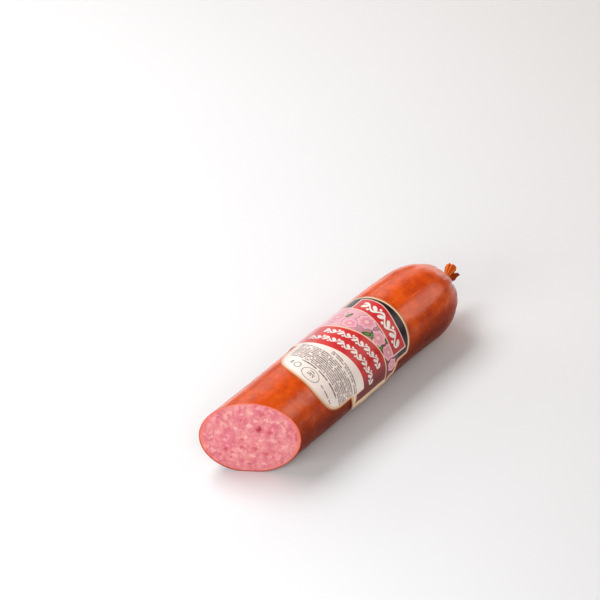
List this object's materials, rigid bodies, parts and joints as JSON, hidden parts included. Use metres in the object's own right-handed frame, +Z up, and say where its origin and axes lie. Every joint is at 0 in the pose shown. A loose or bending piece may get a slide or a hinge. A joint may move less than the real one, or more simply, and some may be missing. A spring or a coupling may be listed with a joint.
{
  "type": "cured sausage",
  "caption": "Thick cooked, smoked sausage in an orange-brown casing, cut on the bias at one end and gathered in a clip at the other, with a wrapped label.",
  "frame": {"origin": "on the resting plane, under the middle of the bounding box", "axes": "+X along the stick from the bias cut to the gathered tail, +Z up, the label's centre line between +Z and -Y"},
  "size_m": [0.3042, 0.0706, 0.0685],
  "materials": {
    "filling": "moist cut face",
    "casing": "semi-gloss smoked skin",
    "label": "satin printed film",
    "clip": "bare pressed wire"
  },
  "bodies": {
    "root": {"filling": "filling", "casing": "casing", "label": "label", "clip": "clip"}
  },
  "joints": []
}
